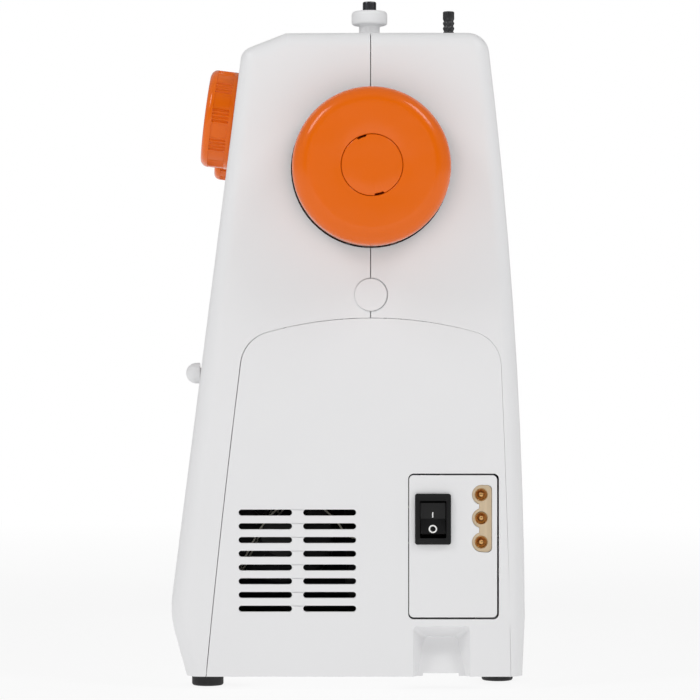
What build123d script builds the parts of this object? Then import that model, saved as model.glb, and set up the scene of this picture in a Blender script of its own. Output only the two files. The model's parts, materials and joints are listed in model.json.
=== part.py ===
from build123d import *
import math
import os

# Domestic free-arm sewing machine. X runs along the machine, handwheel at +X and needle end at -X.
# The operator sits at -Y, Z is up and the origin is at the middle of the box on the table.

# ---- driving dimensions, mm ----
END_X = 168.0             # flat end face behind the handwheel
LEFT_X = -192.0           # needle end of the body
SHELL_Z = 5.5             # lower edge of the covers
TOP_Z = 273.4             # flat top
BED_Z = 76.0              # sewing surface
ARM_Z = 186.0             # underside of the arm
HEAD_Z = 158.0            # underside of the head
PILLAR_X = 28.0           # throat side of the pillar
HEAD_X = -98.0            # throat side of the head
WALL = 2.5
SEAM_Y = 9.2              # plane where the front and rear covers meet
SEAM_GAP = 0.35
SHAFT_Z = 216.5           # main shaft height
NEEDLE_X = -138.0
FRONT_FOOT_Y = -74.4      # corner of the front side, before its rounding
FRONT_TOP_Y = -44.4
FRONT_TOP_Z = 266.0
REAR_FOOT_Y = 73.7
REAR_TOP_Y = 57.8
REAR_ARC = [(REAR_TOP_Y, TOP_Z), (68.8, 160.0), (REAR_FOOT_Y, 30.0)]
END_R = 6.5               # rounding of the end face's edge
PLAY = 0.05               # radial running fit

# free arm and the box around it
ARM_Y0 = -30.0
ARM_Y1 = 50.0
ARM_END_X = -180.0
ARM_FLOOR_Z = 24.0

# end panel: foot, shoulder and middle of each side, and the top
ARCH_FRONT = [(-59.7, 0.0), (-50.9, 85.0), (-43.6, 145.4)]
ARCH_REAR = [(62.9, 145.4), (65.5, 80.0), (67.5, 0.0)]
ARCH_TOP_Z = 154.4
ARCH_GAP = 0.1
VENT_HEIGHTS = [33.7 + row * 5.7 for row in range(8)]
PLUG_Z = 164.0
PLUG_R = 6.7

# lower shaft and hook
LOWER_Y = 14.0
LOWER_Z = 40.0
HOOK_Y = -8.5
HOOK_R = 16.5

# inner frame
WEB_Y0 = 34.0
WEB_Y1 = 40.0


# ---- places of the controls, mm ----
FACE_X = -176.0           # joint between the head and its end cap
SELECTOR_X = 116.0
SELECTOR_Z = 240.0
LENGTH_X = 66.0
LENGTH_Z = 231.0
TENSION_X = -80.0
TENSION_Y = -34.6
TENSION_R = 17.0
REVERSE_Y = -36.0
REVERSE_Z = 131.0
WINDER_X = 148.0
WINDER_TRAVEL = 5.0
STOPPER_X = 127.0
SPOOL_X = 128.0
SPOOL_Y = 43.6
SPOOL_TIP_R = 2.45        # the part that a spool sits on
SPOOL_TIP_LENGTH = 12.8
SPOOL_SHAFT_R = 1.9
HANDLE_X0 = -70.0
HANDLE_X1 = 80.0
HANDLE_Y = 43.0           # pivot of the carry handle
HANDLE_Z = 264.0
COVER_SCREWS = [(-80.0, 215.0), (100.0, 215.0), (60.0, 40.0), (140.0, 60.0)]
WHEEL_R = 32.6
WHEEL_GAP = 0.5           # between the wheel and its round opening in the covers
WHEEL_X1 = 192.0
BASE_SCREWS = [(45.0, -50.0), (150.0, -45.0), (45.0, 58.0), (145.0, 60.0)]
PLATE_SCREWS = [(-160.0, 38.0), (-116.0, 38.0)]
FEET = [(148.0, -59.0), (130.0, 64.3), (50.0, -58.0), (50.0, 64.0), (-106.0, -16.0), (-106.0, 36.0)]

# ---- sewing surface and box, mm ----
PLATE_X0 = -164.0
PLATE_X1 = -112.0
PLATE_Y0 = -1.6
PLATE_Y1 = 42.0
BOBBIN_LID_Y0 = -27.0
BOBBIN_LID_Y1 = -2.0
LATCH_X0 = -111.4
BOX_X0 = -174.0
BOX_X1 = 20.0
BOX_Y0 = -62.0
BOX_Y1 = -35.0
BOBBIN_HINGE_X = PLATE_X1 - 1.3
BOX_HINGE_Y = BOX_Y0 + 1.6

# ---- mechanism, mm ----
CAM_X = 20.0
CAM_Y = -22.0
MOTOR_Y = -28.0
MOTOR_Z = 62.0
MOTOR_PULLEY_R = 7.0
UPPER_R = 28.0
BELT_X = 134.0
TIMING_X = 101.0
TIMING_R = 12.0
CRANK_R = 15.5
STUD_Z = 206.0
GATE_Z = 256.0            # swing pin of the needle bar gate
PRESSER_Y = 24.0
FOOT_LIFT = 6.0           # height of the raised foot over the sewing surface, less its 1 mm sole clearance
FOOT_Y = 19.0
LIFTER_Y = 40.0
LIFTER_Z = 152.0
TAKE_UP_Y = -12.0
TAKE_UP_Z = 205.0

# ---- mains inlet, mm ----
PIN_Y = 55.2
PIN_HEIGHTS = (61.3, 71.3, 81.0)
ROCKER_X = 165.2
ROCKER_Z = 70.75
ROCKER_TILT = -9.0


# ---- helpers ----
def block(x0, x1, y0, y1, z0, z1):
    size = Box(x1 - x0, y1 - y0, z1 - z0)
    return Pos((x0 + x1) / 2, (y0 + y1) / 2, (z0 + z1) / 2) * size


def rod_x(x0, x1, y, z, r):
    return Pos((x0 + x1) / 2, y, z) * Rot(0, 90, 0) * Cylinder(r, x1 - x0)


def rod_y(y0, y1, x, z, r):
    return Pos(x, (y0 + y1) / 2, z) * Rot(90, 0, 0) * Cylinder(r, y1 - y0)


def rod_z(z0, z1, x, y, r):
    return Pos(x, y, (z0 + z1) / 2) * Cylinder(r, z1 - z0)


def prism_x(sketch_yz, x0, x1):
    """Extrude a sketch drawn with Y to the right and Z up from x0 to x1."""
    return extrude(Plane(origin=(x0, 0, 0), x_dir=(0, 1, 0), z_dir=(1, 0, 0)) * sketch_yz, x1 - x0)


def prism_y(sketch_xz, y0, y1):
    """Extrude a sketch drawn with X to the right and Z up from y0 to y1."""
    return extrude(Plane(origin=(0, y1, 0), x_dir=(1, 0, 0), z_dir=(0, -1, 0)) * sketch_xz, y1 - y0)


def rounded_rect(u0, u1, v0, v1, r):
    return Pos((u0 + u1) / 2, (v0 + v1) / 2) * RectangleRounded(u1 - u0, v1 - v0, r)


def slot(u0, u1, v, height):
    return Pos((u0 + u1) / 2, v) * SlotOverall(u1 - u0, height)


def turned_x(points, y, z):
    """Revolve a closed outline of (x, radius) points about the line along X through (y, z)."""
    outline = make_face(Polyline(*[(x, r) for x, r in points], close=True))
    spun = revolve(outline, Axis.X, 360)
    return Pos(0, y, z) * spun


def front_y(z):
    """Y of the slanted front side at height z."""
    slope = (FRONT_TOP_Y - FRONT_FOOT_Y) / (FRONT_TOP_Z - 31.0)
    return FRONT_FOOT_Y + slope * (z - 31.0)


def front_plane(x, z, out=0.0):
    """Plane on the front side at (x, z), its Z axis pointing out of the machine."""
    lean = math.atan((FRONT_TOP_Y - FRONT_FOOT_Y) / (FRONT_TOP_Z - 31.0))
    normal = (0, -math.cos(lean), math.sin(lean))
    origin = (x, front_y(z) + out * normal[1], z + out * normal[2])
    return Plane(origin=origin, x_dir=(1, 0, 0), z_dir=normal)


# ---- casing ----
def end_profile(inset=0.0):
    """Cross-section of the machine in Y and Z."""
    front = Polyline((-67.3, SHELL_Z), (FRONT_FOOT_Y, 31.0), (FRONT_TOP_Y, FRONT_TOP_Z),
                     (-26.0, TOP_Z - 0.2), (10.0, TOP_Z), (REAR_TOP_Y, TOP_Z))
    rear = ThreePointArc(*REAR_ARC)
    foot = Polyline((REAR_FOOT_Y, 30.0), (72.6, SHELL_Z), (-67.3, SHELL_Z))
    face = make_face([front, rear, foot])
    corners = face.vertices()

    def near(y, z):
        return [min(corners, key=lambda v: (v.X - y) ** 2 + (v.Y - z) ** 2)]
    face = fillet(near(FRONT_FOOT_Y, 31.0), 40)
    corners = face.vertices()
    face = fillet(near(FRONT_TOP_Y, FRONT_TOP_Z), 6)
    corners = face.vertices()
    face = fillet(near(REAR_TOP_Y, TOP_Z), 9)
    if inset:
        face = offset(face, amount=-inset, kind=Kind.INTERSECTION)
    return face


def side_profile(inset=0.0):
    """Outline of arm, head and pillar in X and Z, as seen from the operator's seat."""
    face = make_face(Polyline((LEFT_X, TOP_Z + 5), (END_X + 5, TOP_Z + 5), (END_X + 5, SHELL_Z - 5),
                              (PILLAR_X, SHELL_Z - 5), (PILLAR_X, ARM_Z), (HEAD_X, ARM_Z),
                              (HEAD_X, HEAD_Z), (LEFT_X, HEAD_Z), close=True))
    radii = [((PILLAR_X, ARM_Z), 22), ((HEAD_X, ARM_Z), 14), ((HEAD_X, HEAD_Z), 6), ((LEFT_X, HEAD_Z), 14)]
    for (x, z), r in radii:
        corner = min(face.vertices(), key=lambda v: (v.X - x) ** 2 + (v.Y - z) ** 2)
        face = fillet([corner], r)
    if inset:
        face = offset(face, amount=-inset, kind=Kind.INTERSECTION)
    return face


def casing_body(inset=0.0):
    bar = prism_x(end_profile(inset), LEFT_X + inset, END_X - inset)
    ends = bar.faces().filter_by(Axis.X)
    rims = [e for f in ends for e in f.edges() if e.center().Z > SHELL_Z + inset + 1]
    bar = fillet(rims, END_R - inset)
    return bar & prism_y(side_profile(inset), -90, 90)


def arch_sketch(grow=0.0):
    """Outline of the end panel, in Y and Z."""
    front = [(y - grow, z) for y, z in ARCH_FRONT]
    rear = [(y + grow, z) for y, z in ARCH_REAR]
    crown = ThreePointArc(front[-1], (SEAM_Y, ARCH_TOP_Z + grow), rear[0])
    face = make_face([ThreePointArc(*front), crown, ThreePointArc(*rear), Line(rear[-1], front[0])])
    for y, z in (front[-1], rear[0]):
        corner = min(face.vertices(), key=lambda v: (v.X - y) ** 2 + (v.Y - z) ** 2)
        face = fillet([corner], 15)
    return face


def vent_slots(x0, x1):
    cuts = []
    for z in VENT_HEIGHTS:
        for y0, y1 in ((-45.6, -23.4), (-18.8, 3.2)):
            cuts.append(prism_x(slot(y0, y1, z, 2.6), x0, x1))
    return cuts


def reverse_bracket():
    """Boss inside the front cover that carries the reverse lever's pin."""
    arm = block(112, 116, front_y(131) + 1.2, -30, 125, 137)
    return arm + rod_x(104.5, 112, REVERSE_Y, REVERSE_Z, 2.5)


def tension_bracket():
    """Boss inside the front cover that carries the tension dial's axle."""
    arm = block(-93, -90, front_y(SELECTOR_Z) + 1.2, -28, 233, 249)
    return arm + rod_x(-90, -72, TENSION_Y, SELECTOR_Z, 2.5)


def winder_slot():
    """Slot in the top in which the winder spindle moves towards its stopper."""
    ends = [rod_z(TOP_Z - 8, TOP_Z + 8, x, SEAM_Y, 5.4) for x in (WINDER_X - WINDER_TRAVEL, WINDER_X)]
    middle = block(WINDER_X - WINDER_TRAVEL, WINDER_X, SEAM_Y - 5.4, SEAM_Y + 5.4, TOP_Z - 8, TOP_Z + 8)
    return ends + [middle]


def handle_pocket(grow=0.0):
    x0, x1 = HANDLE_X0 - 4 - grow, HANDLE_X1 + 4 + grow
    return block(x0, x1, 19 - grow, 51 + grow, 255 - grow, TOP_Z + 4)


def base_opening():
    """Hole in the underside of the covers, closed by the base plate."""
    return extrude(rounded_rect(PILLAR_X + WALL, END_X - WALL, -64.4, 69.9, 9.0), 9)


def casing_shell():
    shell = casing_body() - casing_body(WALL)
    cuts = [
        prism_x(arch_sketch(ARCH_GAP), END_X - 12, END_X + 5),
        rod_x(END_X - 12, END_X + 5, SEAM_Y, SHAFT_Z, WHEEL_R + WHEEL_GAP),
        rod_x(END_X - 12, END_X + 5, SEAM_Y, PLUG_Z, PLUG_R - 0.9),
        rod_x(END_X - 1.2, END_X + 5, SEAM_Y + 0.22, PLUG_Z + 0.1, PLUG_R + 0.3),
        block(PILLAR_X - 5, PILLAR_X + 5, ARM_Y0 - 0.4, ARM_Y1 + 0.4, 0, BED_Z + 0.4),
        block(NEEDLE_X - 18, NEEDLE_X + 16, -14, 56, HEAD_Z - 5, HEAD_Z + 5),
        block(-118, -102.5, -14, 16, HEAD_Z - 5, HEAD_Z + 5),
        block(LEFT_X - 5, FACE_X, -90, 90, 100, 300),
        base_opening(),
    ]
    return shell - cuts


def front_cover():
    half = casing_shell() & block(-200, 200, -90, SEAM_Y - SEAM_GAP / 2, 0, 300)
    dial = front_plane(SELECTOR_X, SELECTOR_Z)
    small = front_plane(LENGTH_X, LENGTH_Z)
    half -= dial * Pos(0, 0, -8) * Cylinder(6.2, 20)
    half -= small * Pos(0, 0, -8) * Cylinder(5.2, 20)
    half -= block(TENSION_X - 4.6, TENSION_X + 4.6, -70, -30, SELECTOR_Z - 15.4, SELECTOR_Z + 15.4)
    half -= block(-118.2, -110.2, -80, -30, 193, 258)
    half -= block(104.6, 111.4, -80, -50, REVERSE_Z - 12, REVERSE_Z + 7)
    half -= winder_slot()
    return half + reverse_bracket() + tension_bracket()


def rear_cover():
    half = casing_shell() & block(-200, 200, SEAM_Y + SEAM_GAP / 2, 90, 0, 300)
    half -= winder_slot()
    half -= rod_z(TOP_Z - 8, TOP_Z + 8, STOPPER_X, SEAM_Y, 2.6)
    half -= handle_pocket()
    pan = handle_pocket(2.0) & casing_body()
    half += pan - handle_pocket()
    half -= rod_x(HANDLE_X0 - 20, HANDLE_X1 + 20, HANDLE_Y, HANDLE_Z, 2.4 + PLAY)
    half -= rod_z(TOP_Z - 8, TOP_Z + 8, SPOOL_X, SPOOL_Y, 2.9)
    half += rod_z(TOP_Z - 9, TOP_Z - 1.5, SPOOL_X, SPOOL_Y, 5.5)
    half -= rod_z(TOP_Z - 10, TOP_Z, SPOOL_X, SPOOL_Y, SPOOL_SHAFT_R + PLAY)
    for x, z in COVER_SCREWS:
        half -= rod_y(55, 90, x, z, 2.0)
        half -= rod_y(rear_y(z) - 1.2, 90, x, z, 4.2)
    return half


def face_cover():
    """Cap over the needle end of the head."""
    cap = (casing_body() - casing_body(WALL)) & block(LEFT_X - 5, FACE_X - 0.4, -90, 90, 100, 300)
    return cap


def end_panel():
    skin = casing_body() - casing_body(WALL)
    panel = skin & prism_x(Pos(ARCH_GAP, 0) * arch_sketch(-ARCH_GAP), END_X - 9, END_X + 5)
    panel -= base_opening()
    panel -= vent_slots(END_X - 9, END_X + 5)
    panel -= [block(END_X - 0.5, END_X + 1, -24.4, -17.8, z + 1.0, z + 1.35) for z in VENT_HEIGHTS]
    panel -= prism_x(rounded_rect(24.8, 62.5, 29.3, 89.8, 2.3), END_X - 9, END_X + 5)
    panel -= notch_space()
    return panel + notch_walls()


def notch_space(grow=0.0):
    """Recess for the mains lead: its roof, sides and back all slope, and it is open below."""
    side = Polyline((END_X - 9 - grow, 21.4 + grow), (END_X + 5, 29.2 + grow), (END_X + 5, -10),
                    (END_X + 2.8 - grow, -10), close=True)
    plan = Polyline((END_X - 9 - grow, 31.9 - grow), (END_X + 5, 24.1 - grow), (END_X + 5, 53.3 + grow),
                    (END_X - 9 - grow, 45.5 + grow), close=True)
    space = prism_y(make_face(side), 0, 90) & extrude(make_face(plan), 60)
    roof = space.faces().filter_by(lambda f: f.normal_at().Z > 0.5)[0]
    slopes = [e for e in roof.edges() if abs(e.tangent_at(0.5).Y) < 0.9]
    return fillet(slopes, 2.0)


def notch_walls():
    """Back, sides and roof of the cord notch in the panel's foot."""
    walls = (notch_space(1.6) - notch_space()) & block(150, END_X - WALL + 0.01, -90, 90, SHELL_Z, 40)
    return walls - block(150, END_X, 31, 46, 0, SHELL_Z + 1.1)


def seam_plug():
    stem = rod_x(END_X - 6, END_X - 1.1, SEAM_Y, PLUG_Z, PLUG_R - 1.0)
    head = rod_x(END_X - 1.1, END_X + 0.5, SEAM_Y, PLUG_Z, PLUG_R)
    return stem + head


def rear_y(z):
    """Y of the rear side at height z, near enough to the arc through its three points."""
    total = 0.0
    for y, height in REAR_ARC:
        others = [h for _, h in REAR_ARC if h != height]
        total += y * (z - others[0]) * (z - others[1]) / ((height - others[0]) * (height - others[1]))
    return total


# ---- base, free arm and accessory box ----
def base_plate():
    plan = rounded_rect(30.9, 165.1, -63.8, 69.3, 9.0)
    plate = Pos(0, 0, 6) * extrude(plan, 3)
    plate -= block(155.6, 170, 24.0, 53.4, 5, 10)
    tongue = Pos(0, 0, 6) * extrude(rounded_rect(-120, 33, -27, 47, 8.0), 5)
    plate += tongue
    for x, y in BASE_SCREWS:
        plate -= rod_z(5, 12, x, y, 2.2)
        plate -= rod_z(5, 7.4, x, y, 4.2)
    return plate


def rubber_feet():
    feet = []
    for x, y in FEET:
        outline = make_face(Polyline((0, 0), (6.2, 0), (6.65, 0.6), (6.65, SHELL_Z), (3.4, SHELL_Z),
                                     (3.4, 6), (0, 6), close=True))
        feet.append(Pos(x, y, 0) * revolve(Plane.XZ * outline, Axis.Z, 360))
    return feet


def screw_group(places, head_z, head_r, length, upward):
    """Countersunk screws standing along Z, heads down when upward is true."""
    screws = []
    for x, y in places:
        sign = 1 if upward else -1
        z0, z1 = sorted((head_z, head_z + sign * 1.2))
        s0, s1 = sorted((head_z + sign * 1.2, head_z + sign * length))
        screw = rod_z(z0, z1, x, y, head_r) + rod_z(s0, s1, x, y, 1.95)
        edge = head_z - sign * 0.1
        screw -= block(x - 3, x + 3, y - 0.5, y + 0.5, *sorted((edge, head_z + sign * 0.8)))
        screws.append(screw)
    return screws


def arm_plan(inset=0.0):
    x0, x1 = ARM_END_X + inset, 60.0
    plan = rounded_rect(x0, x1, ARM_Y0 + inset, ARM_Y1 - inset, 18.0 - inset)
    return plan


def free_arm_cover():
    outer = Pos(0, 0, ARM_FLOOR_Z) * extrude(arm_plan(), BED_Z - ARM_FLOOR_Z)
    outer = fillet(outer.edges().group_by(Axis.Z)[0], 4)
    outer = fillet(outer.edges().group_by(Axis.Z)[-1], 1.6)
    inner = Pos(0, 0, ARM_FLOOR_Z + WALL) * extrude(arm_plan(WALL), BED_Z - ARM_FLOOR_Z - 2 * WALL)
    cover = (outer - inner) & block(-200, PILLAR_X - 0.4, -90, 90, 0, 100)
    cover -= block(PLATE_X0 - 0.3, PLATE_X1 + 0.3, BOBBIN_LID_Y0 - 0.3, PLATE_Y1 + 0.3, 70, 80)
    cover -= block(LATCH_X0 - 0.3, LATCH_X0 + 15.0, -20.3, -7.7, 70, 80)
    return cover


def needle_plate():
    plate = block(PLATE_X0, PLATE_X1, PLATE_Y0, PLATE_Y1, BED_Z - 2, BED_Z)
    plate = fillet(plate.edges().filter_by(Axis.Z), 1.5)
    plate -= Pos(NEEDLE_X, SEAM_Y, 70) * extrude(SlotOverall(9.6, 2.4), 10)
    for dx, y0 in ((-9.0, 9.6), (0.0, 12.4), (9.0, 9.6)):
        plate -= block(NEEDLE_X + dx - 2.3, NEEDLE_X + dx + 2.3, y0, 31.4, 70, 80)
    for x, y in PLATE_SCREWS:
        plate -= rod_z(70, 80, x, y, 2.2)
        plate -= rod_z(BED_Z - 1.3, 80, x, y, 3.9)
    return plate


def bobbin_cover():
    """Clear lid over the drop-in bobbin, with a rounded edge that it turns about."""
    lid = block(PLATE_X0 + 0.4, BOBBIN_HINGE_X, BOBBIN_LID_Y0, BOBBIN_LID_Y1, BED_Z - 2, BED_Z)
    corners = lid.edges().filter_by(Axis.Z).group_by(Axis.X)[0]
    lid = fillet(corners, 1.2)
    return lid + rod_y(BOBBIN_LID_Y0, BOBBIN_LID_Y1, BOBBIN_HINGE_X, BED_Z - 1, 1.0)


def bobbin_latch():
    thumb = block(LATCH_X0, LATCH_X0 + 10, -20, -8, BED_Z - 2, BED_Z - 0.2)
    for step in range(4):
        x = LATCH_X0 + 2 + step * 2
        thumb -= block(x - 0.4, x + 0.4, -18.5, -9.5, BED_Z - 0.8, BED_Z)
    return thumb


def accessory_box():
    band = prism_x(end_profile(), LEFT_X, PILLAR_X - 0.6) & block(-200, 60, -90, 90, 8, BED_Z - 0.2)
    band &= extrude(rounded_rect(LEFT_X, 80, -74, 74, 16.0), 100)
    band -= block(ARM_END_X - 0.7, 40, ARM_Y0 - 0.6, ARM_Y1 + 0.6, 0, 100)
    band -= block(BOX_X0, BOX_X1, BOX_Y0, BOX_Y1, 11, 100)
    band -= block(BOX_X0, BOX_X1, ARM_Y1 + 3.2, 68, 0, BED_Z - 3)
    return band


def accessory_lid():
    lid = block(BOX_X0 + 0.4, BOX_X1 - 0.4, BOX_HINGE_Y, BOX_Y1 - 0.4, BED_Z - 2.6, BED_Z - 0.2)
    corners = lid.edges().filter_by(Axis.Z).group_by(Axis.Y)[-1]
    lid = fillet(corners, 1.5)
    lid += rod_x(BOX_X0 + 0.4, BOX_X1 - 0.4, BOX_HINGE_Y, BED_Z - 1.4, 1.2)
    return lid - rod_z(60, 80, -77, BOX_Y1 - 1.5, 7.0)


# ---- controls on the outside ----
def handwheel():
    rim_r = WHEEL_R
    outline = Polyline((WHEEL_X1, WHEEL_R - 7.4), (WHEEL_X1, 12.9), (181, 12.9), (181, 5.0), (164, 5.0),
                       (164, 11), (177, 11), (177, 29), (167.0, 29), (167.0, rim_r - 1.2),
                       (168.2, rim_r), (WHEEL_X1 - 7.4, rim_r))
    bend = 7.4 * math.sin(math.pi / 4)
    corner = ThreePointArc((WHEEL_X1 - 7.4, rim_r), (WHEEL_X1 - 7.4 + bend, rim_r - 7.4 + bend),
                           (WHEEL_X1, rim_r - 7.4))
    wheel = revolve(make_face([outline, corner]), Axis.X, 360)
    return Pos(0, SEAM_Y, SHAFT_Z) * wheel


def clutch_knob():
    knob = turned_x([(181.3, 5.05), (181.3, 12.6), (191.9, 12.6), (191.9, 0), (188.2, 0), (188.2, 5.05)],
                    SEAM_Y, SHAFT_Z)
    for angle in (105, 290):
        notch = Pos(191, 12.4, 0) * Box(4, 1.6, 5.0)
        knob -= Pos(0, SEAM_Y, SHAFT_Z) * Rot(angle, 0, 0) * notch
    return knob


def ribbed_dial(r, height, groups, ribs, pitch_deg, shaft_r):
    """Dial standing on its back face at Z=0, with groups of grip ribs and a shaft behind it."""
    drum = Pos(0, 0, height / 2) * Cylinder(r - 0.6, height)
    drum = fillet(drum.edges().group_by(Axis.Z)[-1], 2.2)
    bars = []
    for group in range(groups):
        for rib in range(ribs):
            angle = group * 360 / groups + (rib - (ribs - 1) / 2) * pitch_deg
            bars.append(Rot(0, 0, angle) * Pos(r - 0.8, 0, height / 2 - 0.6) * Box(1.6, 1.3, height - 2.4))
    shaft = Pos(0, 0, -6) * Cylinder(shaft_r, 12.4)
    return drum + bars + shaft


def selector_dial():
    return front_plane(SELECTOR_X, SELECTOR_Z, 0.8) * ribbed_dial(21.0, 12.5, 8, 4, 6.5, 5.0)


def length_dial():
    return front_plane(LENGTH_X, LENGTH_Z, 0.8) * ribbed_dial(14.0, 7.8, 10, 2, 9.0, 4.0)


def tension_dial():
    dial = rod_x(TENSION_X - 4, TENSION_X + 4, TENSION_Y, SELECTOR_Z, TENSION_R)
    dial = fillet(dial.edges().filter_by(GeomType.CIRCLE), 1.2)
    for step in range(24):
        groove = Pos(0, TENSION_R, 0) * Box(6, 0.8, 1.0)
        dial -= Pos(TENSION_X, TENSION_Y, SELECTOR_Z) * Rot(step * 15, 0, 0) * groove
    return dial - rod_x(-100, -60, TENSION_Y, SELECTOR_Z, 2.5 + PLAY)


def reverse_lever():
    knob_y = front_y(REVERSE_Z) - 3.6
    arm = block(105.4, 110.6, front_y(REVERSE_Z) + 4, -31, 127.4, 134.6)
    arm += rod_y(knob_y, front_y(REVERSE_Z) + 5, 108, REVERSE_Z, 2.4)
    arm += rod_y(knob_y, knob_y + 1.6, 108, REVERSE_Z, 4.5)
    arm += Pos(108, knob_y, REVERSE_Z) * Sphere(4.5) & block(100, 116, -90, knob_y, 100, 160)
    return arm - rod_x(90, 120, REVERSE_Y, REVERSE_Z, 2.5 + PLAY)


def carry_handle():
    grip = block(HANDLE_X0, HANDLE_X1, 22, 31, 259.5, 269.5)
    grip = fillet(grip.edges().filter_by(Axis.X), 3.0)
    handle = grip + block(HANDLE_X0, HANDLE_X0 + 8, 28, HANDLE_Y, 260, 268)
    handle += block(HANDLE_X1 - 8, HANDLE_X1, 28, HANDLE_Y, 260, 268)
    handle += rod_x(HANDLE_X0, HANDLE_X0 + 8, HANDLE_Y, HANDLE_Z, 4.0)
    handle += rod_x(HANDLE_X1 - 8, HANDLE_X1, HANDLE_Y, HANDLE_Z, 4.0)
    handle += rod_x(HANDLE_X0 - 5.5, HANDLE_X0, HANDLE_Y, HANDLE_Z, 2.4)
    return handle + rod_x(HANDLE_X1, HANDLE_X1 + 5.5, HANDLE_Y, HANDLE_Z, 2.4)


def winder_spindle():
    stem = rod_z(252, TOP_Z + 10.5, WINDER_X, SEAM_Y, 2.0)
    tip = rod_z(TOP_Z + 10.5, TOP_Z + 14.5, WINDER_X, SEAM_Y, 2.95)
    for step in range(8):
        groove = Pos(WINDER_X, SEAM_Y, TOP_Z + 13) * Rot(0, 0, step * 45) * Pos(2.95, 0, 0) * Box(0.7, 0.45, 6)
        tip -= groove
    return stem + tip


def winder_seat():
    seat = rod_z(TOP_Z + 4.6, TOP_Z + 10.5, WINDER_X, SEAM_Y, 7.55)
    seat = fillet(seat.edges().filter_by(GeomType.CIRCLE), 1.0)
    seat += rod_z(266.6, TOP_Z + 5.5, WINDER_X, SEAM_Y, 4.25)
    return seat - rod_z(260, 290, WINDER_X, SEAM_Y, 2.0)


def winder_arm():
    carrier = block(WINDER_X - 9, WINDER_X + 9, SEAM_Y - 8, SEAM_Y + 8, 254, 262)
    return carrier - rod_z(250, 270, WINDER_X, SEAM_Y, 2.0 + PLAY)


def winder_stopper():
    stop = rod_z(TOP_Z + 0.1, TOP_Z + 8, STOPPER_X, SEAM_Y, 4.0)
    return fillet(stop.edges().group_by(Axis.Z)[-1], 1.0)


def spool_pin():
    """Round pin, thinner where it slides in the cover."""
    shaft = rod_z(228, TOP_Z, SPOOL_X, SPOOL_Y, SPOOL_SHAFT_R)
    return shaft + rod_z(TOP_Z, TOP_Z + SPOOL_TIP_LENGTH, SPOOL_X, SPOOL_Y, SPOOL_TIP_R)


# ---- mains inlet ----
def socket_plate():
    plate = prism_x(rounded_rect(25.2, 61.7, 30.1, 89.1, 1.9), END_X - 2.5, END_X - 0.1)
    plate -= prism_x(rounded_rect(28.6, 41.5, 61.4, 80.5, 0.8), END_X - 9, END_X + 5)
    return plate - prism_x(socket_outline(0.15), END_X - 9, END_X + 5)


def socket_outline(grow=0.0):
    """Three overlapping round lobes on the front side and a straight rear side."""
    outline = rounded_rect(54.4 - grow, 59.5 + grow, 57.2 - grow, 84.9 + grow, 2.0)
    for z in PIN_HEIGHTS:
        outline += Pos(PIN_Y + 0.2, z) * Circle(4.0 + grow)
    return outline


def socket_insert():
    body = prism_x(socket_outline(), END_X - 14, END_X - 1.3)
    for z in PIN_HEIGHTS:
        body -= rod_x(END_X - 12, END_X + 2, PIN_Y, z, 2.7)
    return body


def socket_pins():
    pins = []
    for z in PIN_HEIGHTS:
        pin = rod_x(END_X - 12, END_X - 1.9, PIN_Y, z, 1.15)
        pins.append(pin + Pos(END_X - 1.9, PIN_Y, z) * Sphere(1.15))
    return pins


def switch_bezel():
    flange = prism_x(rounded_rect(27.6, 42.5, 60.4, 81.5, 1.0), END_X - 0.1, END_X + 1.3)
    can = prism_x(rounded_rect(28.7, 41.4, 61.5, 80.4, 0.6), END_X - 16, END_X - 0.1)
    well = prism_x(rounded_rect(29.6, 40.6, 63.0, 78.5, 0.5), END_X - 14, END_X + 5)
    bezel = flange + can - well
    return bezel + rod_y(29.0, 41.2, ROCKER_X, ROCKER_Z, 1.2)


def power_rocker():
    """Rocker with a shallow V face, its lower half pressed in."""
    half_z = 7.3
    face = make_face(Polyline((-4.5, -3.5), (-4.5, 3.5), (0.5, half_z - 0.6), (3.3, half_z - 0.9),
                              (1.9, 0), (3.3, -half_z + 0.9), (0.5, -half_z + 0.6), close=True))
    key = prism_y(face, 29.9, 40.3)
    key -= rod_y(20, 50, 0, 0, 1.2 + PLAY)
    return Pos(ROCKER_X, 0, ROCKER_Z) * Rot(0, ROCKER_TILT, 0) * key


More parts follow.
